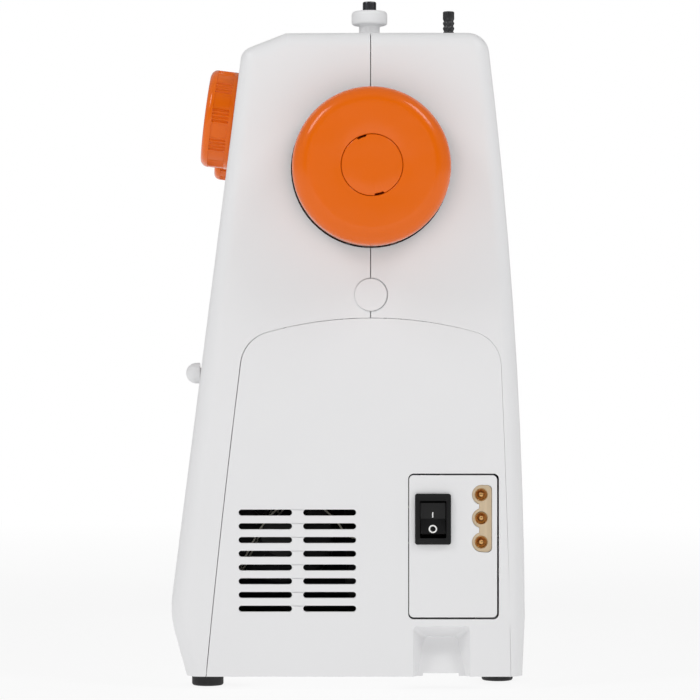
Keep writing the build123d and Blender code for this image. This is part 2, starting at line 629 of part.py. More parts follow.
# ---- inner frame, main shaft and drive ----
def main_frame():
    frame = block(-104, 124, WEB_Y0, WEB_Y1, 196, 244)
    frame += block(36, 124, WEB_Y0, WEB_Y1, 15, 196)
    frame += block(36, 124, -12, WEB_Y1, 9, 15) + block(100, 108, WEB_Y1, 56, 9, 30)
    frame += block(-152, -103.5, WEB_Y0, WEB_Y1, 163, 262)
    frame += block(-128, 36, WEB_Y0, WEB_Y1, 28, 66)
    for x0, x1, y0 in ((-108, -100, -18), (46, 52, -14), (112, 120, -14)):
        frame += block(x0, x1, y0, WEB_Y0 + 1, 196, 244)
        frame -= rod_x(x0 - 1, x1 + 1, SEAM_Y, SHAFT_Z, 8.0)
    frame += block(12, 52, CAM_Y - 8, -14, 190, 196) + block(46, 52, -15, WEB_Y0, 190, 197)
    frame += rod_z(196, 243, CAM_X, CAM_Y, 3.0)
    frame += block(60, 66, -50, WEB_Y0, 15, 88) + block(-122, -116, 2, WEB_Y0, 28, 56)
    for x in (-119, 63):
        frame -= rod_x(x - 5, x + 5, LOWER_Y, LOWER_Z, 7.0)
    frame -= rod_x(58, 68, MOTOR_Y, MOTOR_Z, 9.0)
    frame += block(-147, -116, -16, -1, 27, 33) + block(-122, -116, -16, WEB_Y0, 27, 31)
    frame -= rod_z(20, 40, NEEDLE_X, HOOK_Y, 3.0 + PLAY)
    for z in (164, 226):
        frame += block(NEEDLE_X - 6, NEEDLE_X + 6, PRESSER_Y - 6, WEB_Y0, z, z + 6)
        frame -= rod_z(z - 2, z + 8, NEEDLE_X, PRESSER_Y, 3.0 + PLAY)
    frame += rod_y(-6, WEB_Y0, NEEDLE_X, GATE_Z, 2.5)
    frame += rod_x(-116.5, -107, TAKE_UP_Y, TAKE_UP_Z, 3.0)
    frame += block(-142, -136, WEB_Y0, 46, 146, 165)
    return frame + rod_x(-151.5, -141, LIFTER_Y, LIFTER_Z, 2.5)


def bushing(x0, x1, y, z, outer, inner):
    return rod_x(x0, x1, y, z, outer) - rod_x(x0 - 1, x1 + 1, y, z, inner + PLAY)


def shaft_bushings():
    upper = [bushing(x0 - 1, x1 + 1, SEAM_Y, SHAFT_Z, 8.0, 5.0)
             for x0, x1 in ((-108, -100), (46, 52), (112, 120))]
    lower = [bushing(x - 4, x + 4, LOWER_Y, LOWER_Z, 7.0, 4.0) for x in (-119, 63)]
    return upper + lower


def main_shaft():
    return rod_x(-118, 187.8, SEAM_Y, SHAFT_Z, 5.0)


def needle_crank():
    disc = rod_x(-124, -118, SEAM_Y, SHAFT_Z, 20.0)
    disc -= block(-130, -110, -20, 3.0, SHAFT_Z + 4, SHAFT_Z + 25)
    disc -= block(-130, -110, 15.4, 40, SHAFT_Z + 4, SHAFT_Z + 25)
    hub = rod_x(-118.5, -111, SEAM_Y, SHAFT_Z, 8.0) - rod_x(-118, -100, SEAM_Y, SHAFT_Z, 5.0)
    return disc + hub + rod_x(-131, -124, SEAM_Y, SHAFT_Z + CRANK_R, 3.0)


def connecting_rod():
    top = SHAFT_Z + CRANK_R
    rod = rod_x(-130.6, -126.4, SEAM_Y, top, 6.0) + rod_x(-130.6, -126.4, SEAM_Y, STUD_Z, 5.0)
    rod += block(-130.6, -126.4, SEAM_Y - 3, SEAM_Y + 3, STUD_Z, top)
    rod -= rod_x(-135, -120, SEAM_Y, top, 3.0 + PLAY)
    return rod - rod_x(-135, -120, SEAM_Y, STUD_Z, 3.0)


def needle_bar_gate():
    x0, x1 = NEEDLE_X - 6, NEEDLE_X + 5
    gate = block(x0, x1, -4, 0, 160.5, 263)
    gate += block(x0, x1, -0.5, 15, 160.5, 168.5) + block(x0, x1, -0.5, 15, 236, 244)
    gate -= rod_z(150, 250, NEEDLE_X, SEAM_Y, 3.2 + PLAY)
    return gate - rod_y(-10, 5, NEEDLE_X, GATE_Z, 2.5 + PLAY)


def needle_bar():
    bar = rod_z(120, 249, NEEDLE_X, SEAM_Y, 3.2) - rod_z(119, 130, NEEDLE_X, SEAM_Y, 1.05)
    bar += block(NEEDLE_X - 5, NEEDLE_X + 4.8, 4, 14.4, STUD_Z - 4, STUD_Z + 4)
    return bar + rod_x(NEEDLE_X + 4, -131.8, SEAM_Y, STUD_Z, 2.8)


def needle_clamp():
    ring = rod_z(121, 129, NEEDLE_X, SEAM_Y, 5.5) - rod_z(110, 140, NEEDLE_X, SEAM_Y, 3.2)
    guide = block(NEEDLE_X - 4, NEEDLE_X + 4, 2.4, 4.4, 121, 122.4)
    ring = ring + guide - rod_x(NEEDLE_X + 3, NEEDLE_X + 8, SEAM_Y, 125.5, 1.2)
    return [ring, clamp_screw()]


def clamp_screw():
    head = rod_x(NEEDLE_X + 5.8, NEEDLE_X + 12, SEAM_Y, 125.5, 2.8)
    head -= block(NEEDLE_X + 11, NEEDLE_X + 13, SEAM_Y - 4, SEAM_Y + 4, 125.1, 125.9)
    return head + rod_x(NEEDLE_X + 3.3, NEEDLE_X + 6, SEAM_Y, 125.5, 1.15)


def needle():
    shape = Polyline((0, 92), (0.5, 96), (0.5, 110), (1.0, 112), (1.0, 130), (0, 130), close=True)
    blade = revolve(Plane.XZ * make_face(shape), Axis.Z, 360)
    return Pos(NEEDLE_X, SEAM_Y, 0) * blade - rod_y(0, 20, NEEDLE_X, 97.5, 0.22)


def take_up_lever():
    """Lever from its pivot up to the thread eye that shows in the slot of the front cover."""
    eye_y, eye_z = -46.0, 249.0
    length = math.hypot(eye_y - TAKE_UP_Y, eye_z - TAKE_UP_Z)
    angle = math.degrees(math.atan2(eye_z - TAKE_UP_Z, eye_y - TAKE_UP_Y))
    plan = SlotOverall(length + 8, 6.0)
    arm = Pos(length / 2, 0) * plan + Circle(6.0)
    arm -= Circle(3.0 + PLAY)
    arm -= Pos(length, 0) * Circle(1.3)
    solid = prism_x(Pos(TAKE_UP_Y, TAKE_UP_Z) * Rot(0, 0, angle) * arm, -115.2, -113.2)
    return solid


def presser_bar():
    bar = rod_z(92, 242, NEEDLE_X, PRESSER_Y, 3.0) + rod_z(176, 182, NEEDLE_X, PRESSER_Y, 5.4)
    return Pos(0, 0, FOOT_LIFT) * bar


def presser_spring():
    low = 182 + FOOT_LIFT
    turns = 9
    coil = Helix(pitch=(226 - low - 1.4) / turns, height=226 - low - 1.4, radius=4.6)
    start = Plane(origin=coil @ 0, z_dir=coil % 0)
    wire = sweep(start * Circle(0.6), path=coil)
    return Pos(NEEDLE_X, PRESSER_Y, low + 0.7) * wire


def foot_holder():
    x0, x1 = NEEDLE_X - 4, NEEDLE_X + 4
    holder = block(x0, x1, 19, 29, 83, 104) + block(x0, x1, 16, 24, 79.8, 86)
    holder = fillet(holder.edges().filter_by(Axis.Z).group_by(Axis.Y)[-1], 2.0)
    holder -= rod_z(92, 110, NEEDLE_X, PRESSER_Y, 3.0)
    holder += rod_x(NEEDLE_X - 8.6, NEEDLE_X + 8.6, FOOT_Y, 81.8, 1.1)
    return Pos(0, 0, FOOT_LIFT) * holder


def presser_foot():
    side = make_face(Polyline((-1.4, 79.4), (1.5, 77.0), (30, 77.0), (30, 78.6), (2.6, 78.8),
                              (-0.6, 81.0), close=True))
    sole = prism_x(side, NEEDLE_X - 11, NEEDLE_X + 11)
    sole += block(NEEDLE_X - 8, NEEDLE_X - 4.4, 15.5, 22.5, 78, 84.2)
    sole += block(NEEDLE_X + 4.4, NEEDLE_X + 8, 15.5, 22.5, 78, 84.2)
    sole -= rod_x(NEEDLE_X - 20, NEEDLE_X + 20, FOOT_Y, 81.8, 1.1 + PLAY)
    sole -= Pos(NEEDLE_X, SEAM_Y, 70) * extrude(SlotOverall(10.4, 3.0), 15)
    sole -= block(NEEDLE_X - 1, NEEDLE_X + 1, -5, SEAM_Y, 70, 90)
    return Pos(0, 0, FOOT_LIFT) * sole


def presser_lifter():
    """Lever behind the head: a hub, a nose towards the presser bar and a thumb piece to the rear."""
    x0, x1 = NEEDLE_X - 12.4, NEEDLE_X - 5
    lever = rod_x(x0, x1, LIFTER_Y, LIFTER_Z, 5.0)
    lever += block(x0, x1, LIFTER_Y, 70, 146.2, 150.6) + rod_x(x0, x1, 70, 148.4, 2.2)
    lever += block(x0, x1, 29.5, LIFTER_Y, 150, 154)
    return lever - rod_x(x0 - 1, x1 + 1, LIFTER_Y, LIFTER_Z, 2.5 + PLAY)


def shaft_wheels():
    """Belt pulley, toothed pulley and the worm that turns the cams."""
    big = belt_pulley(UPPER_R, BELT_X, SEAM_Y, SHAFT_Z, 5.0)
    small = timing_pulley(SEAM_Y, SHAFT_Z, 5.0)
    worm = rod_x(CAM_X - 6, CAM_X + 6, SEAM_Y, SHAFT_Z, 7.4) - rod_x(0, 60, SEAM_Y, SHAFT_Z, 5.0)
    for step in range(4):
        x = CAM_X - 4.5 + step * 3
        worm -= rod_x(x - 0.6, x + 0.6, SEAM_Y, SHAFT_Z, 9) - rod_x(x - 1, x + 1, SEAM_Y, SHAFT_Z, 6.4)
    return [big, small, worm]


def belt_pulley(r, x, y, z, bore):
    wheel = rod_x(x - 4, x + 4, y, z, r + 1.6) - (rod_x(x - 3, x + 3, y, z, 60) - rod_x(x - 3, x + 3, y, z, r))
    return wheel - rod_x(x - 20, x + 20, y, z, bore)


def timing_pulley(y, z, bore):
    x = TIMING_X
    drum = rod_x(x - 4, x + 4, y, z, TIMING_R)
    for step in range(16):
        drum -= Pos(x, y, z) * Rot(step * 22.5, 0, 0) * Pos(0, TIMING_R, 0) * Box(9, 1.4, 1.6)
    drum += rod_x(x - 5.4, x - 4, y, z, TIMING_R + 2.2) + rod_x(x + 4, x + 5.4, y, z, TIMING_R + 2.2)
    return drum - rod_x(x - 20, x + 20, y, z, bore)


def belt_loop(x0, x1, wheel_a, wheel_b, gap, thick):
    """Belt round two wheels, each given as (y, z, radius)."""
    def loop(extra):
        rims = [(Pos(y, z) * Circle(r + extra)).edges() for y, z, r in (wheel_a, wheel_b)]
        return make_hull([edge for rim in rims for edge in rim])
    return prism_x(loop(gap + thick) - loop(gap), x0, x1)


def drive_belts():
    upper = (SEAM_Y, SHAFT_Z, UPPER_R)
    round_belt = belt_loop(BELT_X - 2.6, BELT_X + 2.6, upper, (MOTOR_Y, MOTOR_Z, MOTOR_PULLEY_R), 0.15, 1.2)
    upper = (SEAM_Y, SHAFT_Z, TIMING_R)
    toothed = belt_loop(TIMING_X - 3.6, TIMING_X + 3.6, upper, (LOWER_Y, LOWER_Z, TIMING_R), 0.15, 1.4)
    return [round_belt, toothed]


def motor():
    can = rod_x(66, 118, MOTOR_Y, MOTOR_Z, 23.5)
    can = fillet(can.edges().filter_by(GeomType.CIRCLE), 2.5)
    can += rod_x(60, 67, MOTOR_Y, MOTOR_Z, 8.9) + rod_x(117, 122, MOTOR_Y, MOTOR_Z, 8.0)
    for step in range(8):
        can -= Pos(118, MOTOR_Y, MOTOR_Z) * Rot(step * 45, 0, 0) * Pos(0, 15, 0) * Box(4, 7, 3)
    return can - rod_x(108, 130, MOTOR_Y, MOTOR_Z, 3.0 + PLAY)


def motor_pulley():
    axle = rod_x(108, BELT_X + 4, MOTOR_Y, MOTOR_Z, 3.0)
    return axle + belt_pulley(MOTOR_PULLEY_R, BELT_X, MOTOR_Y, MOTOR_Z, 3.0)


def lower_shaft():
    return rod_x(-146, 110, LOWER_Y, LOWER_Z, 4.0)


def toothed_disc(r, bore, height, teeth):
    """Gear standing along Z from Z=0, with square teeth cut into a disc."""
    disc = Pos(0, 0, height / 2) * Cylinder(r, height)
    width = math.pi * r / teeth
    for step in range(teeth):
        disc -= Rot(0, 0, step * 360 / teeth) * Pos(r, 0, height / 2) * Box(2.4, width, height + 1)
    return disc - Pos(0, 0, height / 2) * Cylinder(bore, height + 2)


def lower_wheels():
    """Toothed pulley and the gear that drives the hook."""
    gear = Pos(NEEDLE_X - 4.5, LOWER_Y, LOWER_Z) * Rot(0, 90, 0) * toothed_disc(10.0, 4.0, 9.0, 14)
    return [timing_pulley(LOWER_Y, LOWER_Z, 4.0), gear]


def rotary_hook():
    cup = rod_z(50, 70, NEEDLE_X, HOOK_Y, HOOK_R) - rod_z(53, 71, NEEDLE_X, HOOK_Y, HOOK_R - 1.6)
    window = Pos(NEEDLE_X, HOOK_Y, 65) * Rot(0, 0, 200) * Pos(HOOK_R, 0, 0) * Box(6, 14, 5)
    cup = cup - window + rod_z(26.8, 51, NEEDLE_X, HOOK_Y, 3.0)
    return [cup, Pos(NEEDLE_X, HOOK_Y, 35.5) * toothed_disc(12.0, 3.0, 9.0, 16)]


def bobbin_case():
    cup = rod_z(53.6, 71.4, NEEDLE_X, HOOK_Y, HOOK_R - 2.2) - rod_z(55.4, 72, NEEDLE_X, HOOK_Y, 11.4)
    return cup - block(NEEDLE_X - 20, NEEDLE_X - 9, HOOK_Y - 2, HOOK_Y + 2, 62, 73)


def bobbin():
    spool = rod_z(56, 57.2, NEEDLE_X, HOOK_Y, 10.5) + rod_z(66.4, 67.6, NEEDLE_X, HOOK_Y, 10.5)
    spool += rod_z(56, 67.6, NEEDLE_X, HOOK_Y, 4.6)
    for step in range(6):
        x, y = 7.6 * math.cos(step * math.pi / 3), 7.6 * math.sin(step * math.pi / 3)
        spool -= rod_z(50, 70, NEEDLE_X + x, HOOK_Y + y, 1.2)
    return spool - rod_z(50, 70, NEEDLE_X, HOOK_Y, 3.1)


def feed_bar():
    bar = block(NEEDLE_X - 12, NEEDLE_X + 12, 14, 31, 64.5, 69)
    return bar + block(NEEDLE_X - 3, NEEDLE_X + 3, 25, 31, 58, 65)


def feed_dog():
    dog = block(NEEDLE_X - 12, NEEDLE_X + 12, 14.5, 30.5, 69.1, 71)
    for dx, y0 in ((-9.0, 12.5), (0.0, 15.5), (9.0, 12.5)):
        dog += block(NEEDLE_X + dx - 1.6, NEEDLE_X + dx + 1.6, y0, 28, 70.5, 75.2)
    for step in range(9):
        y = 13.4 + step * 1.7
        dog -= block(NEEDLE_X - 15, NEEDLE_X + 15, y, y + 0.7, 74.5, 76)
    return dog


def cam_stack():
    """Worm wheel with five pattern cams above it, on one hub."""
    stack = Pos(CAM_X, CAM_Y, 213) * toothed_disc(23.0, 3.1, 7.0, 36)
    for index in range(5):
        z = 222 + index * 3.6
        stack += rod_z(z, z + 2.4, CAM_X, CAM_Y, 13.0)
        lobe = Rot(0, 0, index * 72) * Pos(3.0, 0, 0) * Cylinder(12.0, 2.4)
        stack += Pos(CAM_X, CAM_Y, z + 1.2) * lobe
    hub = rod_z(200, 241, CAM_X, CAM_Y, 7.0)
    return stack + hub - rod_z(190, 250, CAM_X, CAM_Y, 3.0 + PLAY)


# ---- small pieces on the covers ----
def screws():
    """Screws of the base and the sewing plate, and the rear cover's crosshead screws."""
    screws = screw_group(BASE_SCREWS, 6.1, 3.9, 9.0, True)
    screws += screw_group(PLATE_SCREWS, BED_Z - 0.1, 3.6, 7.0, False)
    for x, z in COVER_SCREWS:
        y = rear_y(z)
        screw = rod_y(y - 1.2, y - 0.2, x, z, 3.9) + rod_y(y - 14, y - 1.2, x, z, 1.95)
        cross = block(x - 2.2, x + 2.2, y - 0.9, y, z - 0.5, z + 0.5)
        cross += block(x - 0.5, x + 0.5, y - 0.9, y, z - 2.2, z + 2.2)
        screws.append(screw - cross)
    return screws


def thread_fittings():
    """Guide on top of the arm and the cutter under the head."""
    guide = block(-97, -85, 24, 34, TOP_Z, TOP_Z + 1.2) + rod_z(TOP_Z, TOP_Z + 8, -91, 29, 1.5)
    guide += rod_z(TOP_Z + 3.2, TOP_Z + 4.2, -91, 29, 4.5)
    guide += rod_z(TOP_Z + 7, TOP_Z + 9, -91, 29, 2.6)
    cutter = block(-172, -167, -24, -4, 150, HEAD_Z)
    cutter -= block(-170, -169, -30, -9, 148, 154)
    return [guide, cutter]


def lamp():
    return block(-117.7, -105.3, -13.7, 15.7, HEAD_Z + 0.2, HEAD_Z + 2.3)


PARTS = {
    "front_cover": front_cover, "rear_cover": rear_cover, "face_cover": face_cover,
    "end_panel": end_panel, "seam_plug": seam_plug, "base_plate": base_plate,
    "rubber_feet": rubber_feet, "free_arm_cover": free_arm_cover, "needle_plate": needle_plate,
    "bobbin_cover": bobbin_cover, "bobbin_latch": bobbin_latch, "accessory_box": accessory_box,
    "accessory_lid": accessory_lid, "carry_handle": carry_handle, "handwheel": handwheel,
    "clutch_knob": clutch_knob, "stitch_selector_dial": selector_dial,
    "stitch_length_dial": length_dial, "tension_dial": tension_dial, "reverse_lever": reverse_lever,
    "winder_spindle": winder_spindle, "winder_seat": winder_seat, "winder_arm": winder_arm,
    "winder_stopper": winder_stopper, "spool_pin": spool_pin, "socket_plate": socket_plate,
    "socket_insert": socket_insert, "socket_pins": socket_pins, "switch_bezel": switch_bezel,
    "power_rocker": power_rocker, "main_frame": main_frame, "shaft_bushings": shaft_bushings,
    "main_shaft": main_shaft, "shaft_wheels": shaft_wheels, "needle_crank": needle_crank,
    "connecting_rod": connecting_rod, "needle_bar_gate": needle_bar_gate, "needle_bar": needle_bar,
    "needle_clamp": needle_clamp, "needle": needle, "take_up_lever": take_up_lever,
    "presser_bar": presser_bar, "presser_spring": presser_spring, "foot_holder": foot_holder,
    "presser_foot": presser_foot, "presser_lifter": presser_lifter, "drive_belts": drive_belts,
    "motor": motor, "motor_pulley": motor_pulley, "lower_shaft": lower_shaft,
    "lower_wheels": lower_wheels, "rotary_hook": rotary_hook, "bobbin_case": bobbin_case,
    "bobbin": bobbin, "feed_bar": feed_bar, "feed_dog": feed_dog, "cam_stack": cam_stack,
    "screws": screws, "thread_fittings": thread_fittings, "lamp": lamp,
}

os.makedirs("parts", exist_ok=True)
for node, make in PARTS.items():
    piece = make()
    if isinstance(piece, list):
        piece = Compound(children=piece)
    export_step(piece, f"parts/{node}.step")
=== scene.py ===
import json
import math

import bmesh
import bpy
from mathutils import Matrix, Vector


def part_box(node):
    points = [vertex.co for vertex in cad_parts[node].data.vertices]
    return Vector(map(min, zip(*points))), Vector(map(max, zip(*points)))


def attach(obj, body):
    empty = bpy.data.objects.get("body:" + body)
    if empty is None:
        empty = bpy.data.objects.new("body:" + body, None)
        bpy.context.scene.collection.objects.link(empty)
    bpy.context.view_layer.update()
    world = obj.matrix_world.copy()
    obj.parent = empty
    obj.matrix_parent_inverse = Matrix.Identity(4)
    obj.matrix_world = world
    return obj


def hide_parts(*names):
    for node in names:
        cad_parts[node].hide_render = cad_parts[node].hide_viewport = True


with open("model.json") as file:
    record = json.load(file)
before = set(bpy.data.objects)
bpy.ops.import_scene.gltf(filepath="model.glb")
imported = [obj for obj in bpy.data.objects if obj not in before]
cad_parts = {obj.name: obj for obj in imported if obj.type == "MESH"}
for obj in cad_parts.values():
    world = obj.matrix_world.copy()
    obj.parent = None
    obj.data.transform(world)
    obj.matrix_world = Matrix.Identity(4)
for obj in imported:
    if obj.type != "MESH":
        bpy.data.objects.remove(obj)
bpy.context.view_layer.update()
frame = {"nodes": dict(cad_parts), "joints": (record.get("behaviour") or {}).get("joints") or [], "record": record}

MM = 0.001
NODES = frame["nodes"]
JOINTS = {j["name"]: j for j in frame["joints"]}


def centre(node):
    low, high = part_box(node)
    return (low + high) / 2


def pivot(joint):
    return Vector(JOINTS[joint]["pos_m"])


def axis_of(joint):
    return Vector(JOINTS[joint]["axis"]).normalized()


# ---- materials ----
EDGE_START = 0.53          # pointiness where wear begins on a convex edge
EDGE_FULL = 0.62           # pointiness where it is complete
COAT_ROUGHNESS = 0.10


def rgb(red, green, blue):
    """Linear colour from a screen colour of 0 to 255."""
    def linear(value):
        value /= 255
        return value / 12.92 if value <= 0.04045 else ((value + 0.055) / 1.055) ** 2.4
    return (linear(red), linear(green), linear(blue), 1.0)


class Surface:
    """A principled material whose colour, roughness and bump come from layered noise."""

    def __init__(self, name):
        self.material = bpy.data.materials.new(name)
        self.material.use_nodes = True
        self.tree = self.material.node_tree
        self.shader = self.tree.nodes["Principled BSDF"]
        self.place = self.tree.nodes.new("ShaderNodeTexCoord").outputs["Object"]
        self.height = None

    def set(self, **sockets):
        for name, value in sockets.items():
            self.shader.inputs[name.replace("_", " ")].default_value = value
        return self

    def node(self, kind, **links):
        made = self.tree.nodes.new("ShaderNode" + kind)
        for name, value in links.items():
            socket = made.inputs[name.replace("_", " ")]
            if isinstance(value, bpy.types.NodeSocket):
                self.tree.links.new(value, socket)
            else:
                socket.default_value = value
        return made

    def stretched(self, scale):
        return self.node("Mapping", Vector=self.place, Scale=scale).outputs["Vector"]

    def noise(self, scale, detail=4.0, rough=0.6, stretch=None):
        place = self.stretched(stretch) if stretch else self.place
        made = self.node("TexNoise", Vector=place, Scale=scale, Detail=detail, Roughness=rough)
        return made.outputs["Fac"]

    def ramp(self, value, low, high, out_low, out_high):
        made = self.node("MapRange", Value=value)
        limits = {"From Min": low, "From Max": high, "To Min": out_low, "To Max": out_high}
        for name, number in limits.items():
            made.inputs[name].default_value = number
        return made.outputs["Result"]

    def mix(self, factor, first, second):
        made = self.tree.nodes.new("ShaderNodeMix")
        made.data_type = "RGBA"
        for name, value in (("Factor", factor), ("A", first), ("B", second)):
            sockets = [s for s in made.inputs if s.name == name and s.enabled]
            socket = sockets[-1] if name != "Factor" else sockets[0]
            if isinstance(value, bpy.types.NodeSocket):
                self.tree.links.new(value, socket)
            else:
                socket.default_value = value
        return [s for s in made.outputs if s.enabled][0]

    def colour(self, socket):
        self.tree.links.new(socket, self.shader.inputs["Base Color"])
        return self

    def roughness(self, socket):
        self.tree.links.new(socket, self.shader.inputs["Roughness"])
        return self

    def bump(self, value, strength, distance):
        made = self.node("Bump", Height=value, Strength=strength, Distance=distance)
        if self.height is not None:
            self.tree.links.new(self.height, made.inputs["Normal"])
        self.height = made.outputs["Normal"]
        self.tree.links.new(self.height, self.shader.inputs["Normal"])
        return self

    def worn_edges(self, base, light, amount):
        """Blend to a lighter tone where the surface is strongly convex."""
        point = self.node("NewGeometry").outputs["Pointiness"]
        return self.mix(self.ramp(point, EDGE_START, EDGE_FULL, 0.0, amount), base, light)


def plastic(name, colour, rough, grain, mottle=0.035, coat=0.0, wear=0.25, gloss=0.5):
    """Moulded plastic: spark-eroded grain, slow tone drift and faint handling marks."""
    s = Surface(name)
    drift = s.noise(9.0, 3.0)
    dark = tuple(c * (1 - mottle) for c in colour[:3]) + (1.0,)
    light = tuple(min(1.0, c * (1 + mottle)) for c in colour[:3]) + (1.0,)
    tone = s.mix(s.ramp(drift, 0.3, 0.7, 0.0, 1.0), dark, light)
    pale = tuple(min(1.0, c * 1.25 + 0.02) for c in colour[:3]) + (1.0,)
    s.colour(s.worn_edges(tone, pale, wear))
    smear = s.noise(38.0, 6.0, 0.65, (1.0, 1.0, 3.0))
    s.roughness(s.ramp(smear, 0.3, 0.75, rough - 0.05, rough + 0.07))
    s.bump(s.noise(2600.0, 2.0), grain, 0.00004)
    s.bump(s.noise(60.0, 2.0), grain * 0.4, 0.0002)
    s.set(Coat_Weight=coat, Coat_Roughness=COAT_ROUGHNESS, Specular_IOR_Level=gloss)
    return s.material


def metal(name, colour, rough, stretch, depth=0.15):
    """Bare metal with drawn or turned lines along one direction."""
    s = Surface(name)
    lines = s.noise(900.0, 3.0, 0.7, stretch)
    cloud = s.noise(40.0, 4.0)
    dark = tuple(c * 0.8 for c in colour[:3]) + (1.0,)
    s.colour(s.mix(s.ramp(cloud, 0.3, 0.7, 0.0, 1.0), dark, colour))
    s.roughness(s.ramp(lines, 0.25, 0.75, rough - 0.08, rough + 0.12))
    s.bump(lines, depth, 0.00003)
    s.set(Metallic=1.0)
    return s.material


def rubber(name, colour, rough):
    s = Surface(name)
    dust = s.noise(120.0, 6.0, 0.7)
    grey = tuple(min(1.0, c * 2.2 + 0.01) for c in colour[:3]) + (1.0,)
    s.colour(s.mix(s.ramp(dust, 0.5, 0.8, 0.0, 0.5), colour, grey))
    s.roughness(s.ramp(dust, 0.3, 0.7, rough - 0.06, rough + 0.1))
    s.bump(s.noise(1800.0, 2.0), 0.3, 0.00005)
    return s.material


def clear(name, colour):
    s = Surface(name)
    haze = s.noise(90.0, 5.0)
    s.colour(s.mix(s.ramp(haze, 0.3, 0.7, 0.0, 0.3), colour, (0.8, 0.84, 0.86, 1.0)))
    s.roughness(s.ramp(haze, 0.3, 0.7, 0.03, 0.12))
    s.set(Transmission_Weight=0.92, IOR=1.49)
    return s.material


def cast_metal(name, colour):
    s = Surface(name)
    skin = s.noise(420.0, 5.0, 0.7)
    dark = tuple(c * 0.72 for c in colour[:3]) + (1.0,)
    s.colour(s.mix(s.ramp(skin, 0.3, 0.7, 0.0, 1.0), dark, colour))
    s.roughness(s.ramp(skin, 0.3, 0.7, 0.42, 0.62))
    s.bump(skin, 0.5, 0.0001)
    s.set(Metallic=0.85)
    return s.material


WHITE = rgb(231, 231, 232)
ORANGE = rgb(229, 103, 5)
LOOKS = {
    "body_white": plastic("shell_plastic", WHITE, 0.40, 0.12, 0.012, wear=0.0),
    "dial_orange": plastic("orange_plastic", ORANGE, 0.20, 0.04, 0.02, coat=0.12, wear=0.08, gloss=0.26),
    "black_plastic": plastic("black_plastic", rgb(13, 13, 14), 0.30, 0.25, 0.10, gloss=0.25),
    "socket_beige": plastic("beige_plastic", rgb(203, 183, 153), 0.50, 0.20, 0.05),
    "nylon": plastic("black_nylon", rgb(38, 37, 36), 0.45, 0.20, 0.05),
    "brass": metal("turned_brass", rgb(240, 190, 124), 0.34, (1.0, 1.0, 6.0)),
    "bronze": metal("sintered_bronze", rgb(176, 126, 76), 0.45, (1.0, 1.0, 1.0), 0.4),
    "steel": metal("ground_steel", rgb(176, 177, 180), 0.28, (6.0, 6.0, 1.0)),
    "dark_steel": metal("dark_steel", rgb(92, 92, 96), 0.30, (6.0, 6.0, 1.0)),
    "plate_steel": metal("plated_steel", rgb(205, 206, 209), 0.16, (1.0, 8.0, 1.0)),
    "casting": cast_metal("painted_casting", rgb(66, 68, 71)),
    "motor_can": plastic("motor_enamel", rgb(24, 24, 27), 0.40, 0.15, 0.08, gloss=0.3),
    "rubber": rubber("foot_rubber", rgb(26, 26, 27), 0.62),
    "belt_rubber": rubber("belt_rubber", rgb(34, 33, 32), 0.70),
    "clear_plastic": clear("clear_acrylic", (0.93, 0.96, 0.97, 1.0)),
    "lead_sleeve": plastic("lead_sleeve", rgb(190, 186, 172), 0.50, 0.10, 0.03, wear=0.0),
    "pin_black": plastic("pin_plastic", rgb(44, 44, 46), 0.30, 0.20, 0.08, wear=0.5),
}
MARK_WHITE = plastic("mark_paint", rgb(238, 238, 236), 0.55, 0.10, 0.02, wear=0.0)
MARK_GREY = plastic("scale_ink", rgb(92, 94, 98), 0.60, 0.10, 0.03, wear=0.0)
SLOT_OF = {part["node"]: part["material_slot"] for part in frame["record"]["subparts"]}


def dress(obj, look):
    obj.data.materials.clear()
    obj.data.materials.append(look)


def dress_cad_nodes():
    for name, obj in NODES.items():
        for index in range(len(obj.material_slots)):
            obj.material_slots[index].material = LOOKS[SLOT_OF[name]]


# ---- mesh helpers ----
def add_mesh(name, verts, faces, look, body, smooth_deg=35):
    mesh = bpy.data.meshes.new(name)
    mesh.from_pydata([tuple(v) for v in verts], [], faces)
    work = bmesh.new()
    work.from_mesh(mesh)
    bmesh.ops.recalc_face_normals(work, faces=work.faces)
    for edge in work.edges:
        edge.smooth = len(edge.link_faces) == 2 and edge.calc_face_angle(0) < math.radians(smooth_deg)
    for face in work.faces:
        face.smooth = True
    work.to_mesh(mesh)
    work.free()
    obj = bpy.data.objects.new(name, mesh)
    bpy.context.scene.collection.objects.link(obj)
    dress(obj, look)
    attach(obj, body)
    return obj


def axis_frame(origin, axis, side=None):
    """Matrix whose Z runs along axis, with its X as near side as can be."""
    axis = Vector(axis).normalized()
    side = Vector(side) if side else (Vector((1, 0, 0)) if abs(axis.x) < 0.9 else Vector((0, 1, 0)))
    across = (side - axis * side.dot(axis)).normalized()
    basis = Matrix((across, axis.cross(across), axis)).transposed().to_4x4()
    return Matrix.Translation(origin) @ basis


def arc(cx, cy, r, start, end, steps):
    """Points on an arc in the plane of radius and height, angles in degrees."""
    angles = [math.radians(start + (end - start) * i / steps) for i in range(steps + 1)]
    return [(cx + r * math.cos(a), cy + r * math.sin(a)) for a in angles]


